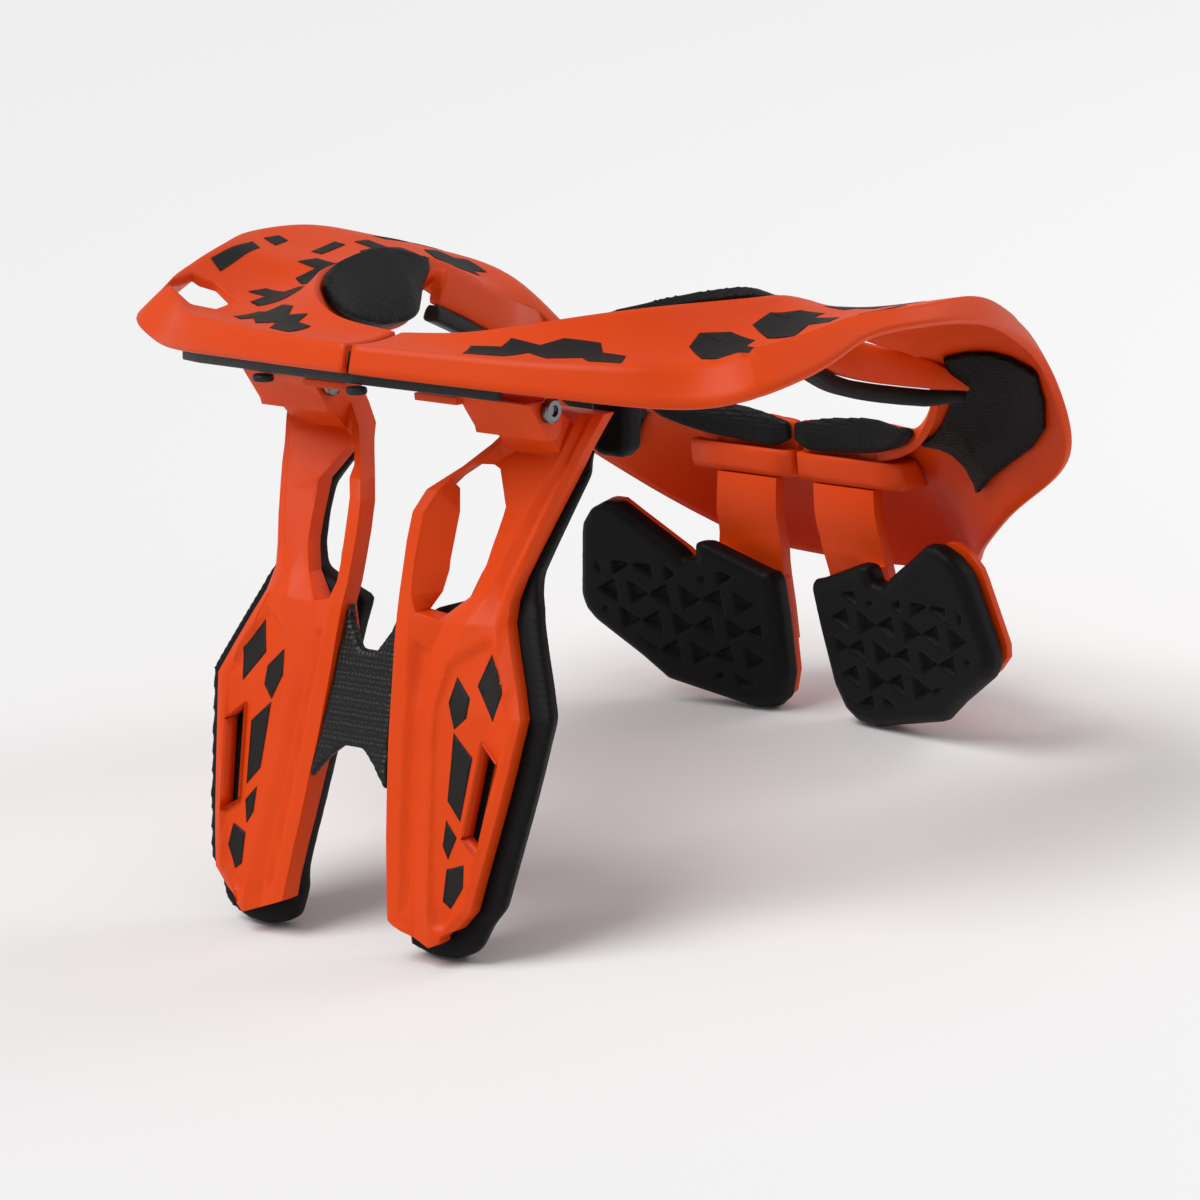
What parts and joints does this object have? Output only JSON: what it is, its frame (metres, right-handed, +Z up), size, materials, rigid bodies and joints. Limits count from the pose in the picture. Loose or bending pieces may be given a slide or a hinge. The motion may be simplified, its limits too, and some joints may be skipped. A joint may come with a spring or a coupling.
{
  "type": "motocross neck brace",
  "caption": "Motocross neck brace: a split open collar deck on two hinged chest struts with foam pads and on padded back straps.",
  "frame": {"origin": "centre of the bounding box's bottom face, on the ground it stands on", "axes": "+X towards the wearer's left, +Y towards the wearer's back, +Z up"},
  "size_m": [0.2888, 0.2962, 0.1955],
  "materials": {
    "orange": "satin moulded orange",
    "rubber": "black rubber",
    "black_plastic": "black moulded plastic",
    "steel": "dark plated steel",
    "pad": "black textured foam pad"
  },
  "bodies": {
    "collar": {"collar_left": "orange", "collar_right": "orange", "shoulder_lip_left": "orange", "shoulder_lip_right": "orange", "shoulder_rubber_left": "rubber", "shoulder_rubber_right": "rubber", "front_link_plate": "black_plastic", "link_button_middle": "black_plastic", "link_button_right": "black_plastic", "hinge_bracket_left": "orange", "hinge_bracket_right": "orange", "hinge_bolt_left": "steel", "hinge_bolt_right": "steel", "front_collar_pad_left": "pad", "front_collar_pad_right": "pad", "rear_collar_pad_left": "pad", "rear_collar_pad_right": "pad", "rear_foam_panel_left": "pad", "rear_foam_panel_right": "pad", "clavicle_pad_left": "pad", "clavicle_pad_right": "pad", "back_strap_left": "orange", "back_strap_right": "orange", "scapula_pad_left": "pad", "scapula_pad_right": "pad"},
    "chest": {"chest_strut_left": "orange", "chest_strut_right": "orange", "chest_pad_left": "pad", "chest_pad_right": "pad", "chest_bridge": "pad"}
  },
  "joints": [
    {"name": "chest_hinge", "type": "hinge", "parent": "collar", "child": "chest", "pos_m": [0, -0.09181, 0.17087], "axis": [1, 0, 0], "range_deg": [-10, 8]}
  ]
}
